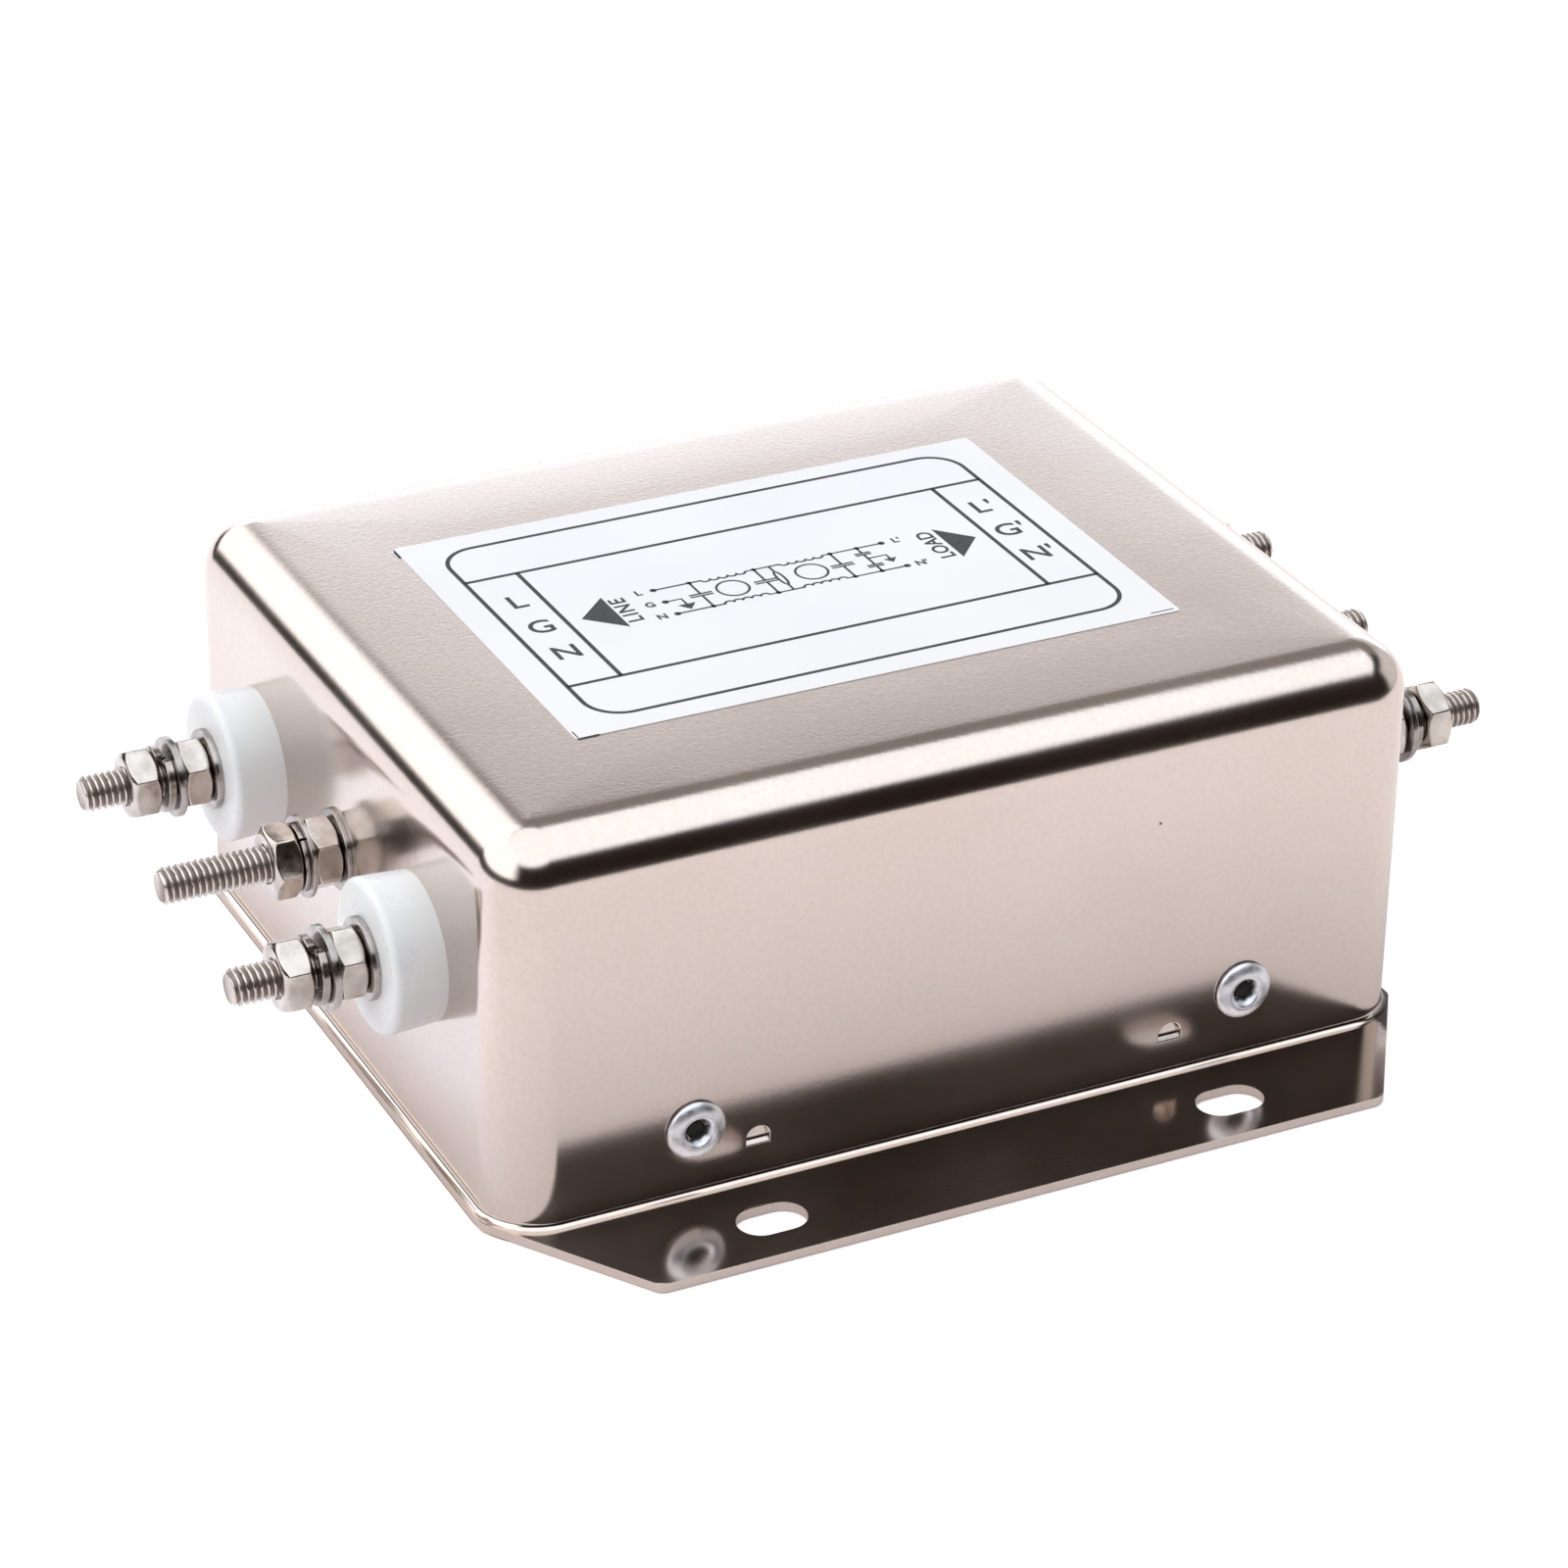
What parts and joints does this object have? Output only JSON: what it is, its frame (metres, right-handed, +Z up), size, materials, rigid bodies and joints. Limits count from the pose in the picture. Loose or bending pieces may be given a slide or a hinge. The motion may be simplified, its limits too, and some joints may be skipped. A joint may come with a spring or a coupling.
{
  "type": "emi line filter",
  "caption": "Drawn steel can with two slotted mounting flanges; threaded line, ground and neutral studs on insulating bushings at each end; suppresses mains noise.",
  "frame": {"origin": "in the mounting plane under the middle of the can", "axes": "+X from the line end to the load end along the studs, +Y across the mounting flanges, +Z up through the top of the can"},
  "size_m": [0.1426, 0.1108, 0.044],
  "materials": {
    "can_steel": "satin nickel plating on drawn steel",
    "liner": "matt insulating sheet",
    "rivet_aluminium": "bright, slightly scratched",
    "mandrel_steel": "dark broken end",
    "bushing_plastic": "moulded white, softly glossy",
    "stud_steel": "nickel plated, cut thread",
    "nut_steel": "bright nickel plating",
    "washer_steel": "bright plating",
    "spring_steel": "plated spring steel",
    "tinned_copper": "tinned strip",
    "board": "bare laminate",
    "spacer_plastic": "moulded",
    "core_coating": "coated ring core",
    "copper_wire": "enamelled wire",
    "film_capacitor": "moulded case",
    "ground_capacitor": "moulded case",
    "resistor": "lacquered body",
    "label": "white film with black print"
  },
  "bodies": {
    "root": {"housing_can": "can_steel", "base_cover": "can_steel", "insulating_liner": "liner", "blind_rivets": "rivet_aluminium", "rivet_mandrels": "mandrel_steel", "insulating_collars": "bushing_plastic", "inner_hex_nuts": "nut_steel", "outer_hex_nuts": "nut_steel", "inside_hex_nuts": "nut_steel", "flat_washers": "washer_steel", "inside_washers": "washer_steel", "spring_washers": "spring_steel", "circuit_board": "board", "board_spacers": "spacer_plastic", "bleed_resistor": "resistor", "top_label": "label", "input_line_stud": "stud_steel", "input_line_strap": "tinned_copper", "input_line_bushing": "bushing_plastic", "input_ground_stud": "stud_steel", "input_ground_strap": "tinned_copper", "input_neutral_stud": "stud_steel", "input_neutral_strap": "tinned_copper", "input_neutral_bushing": "bushing_plastic", "input_choke_core": "core_coating", "input_choke_line_winding": "copper_wire", "input_choke_neutral_winding": "copper_wire", "output_line_stud": "stud_steel", "output_line_strap": "tinned_copper", "output_line_bushing": "bushing_plastic", "output_ground_stud": "stud_steel", "output_ground_strap": "tinned_copper", "output_neutral_stud": "stud_steel", "output_neutral_strap": "tinned_copper", "output_neutral_bushing": "bushing_plastic", "output_choke_core": "core_coating", "output_choke_line_winding": "copper_wire", "output_choke_neutral_winding": "copper_wire", "line_to_neutral_capacitor_1": "film_capacitor", "line_to_neutral_capacitor_2": "film_capacitor", "line_to_neutral_capacitor_3": "film_capacitor", "line_to_ground_capacitor": "ground_capacitor", "neutral_to_ground_capacitor": "ground_capacitor"}
  },
  "joints": []
}
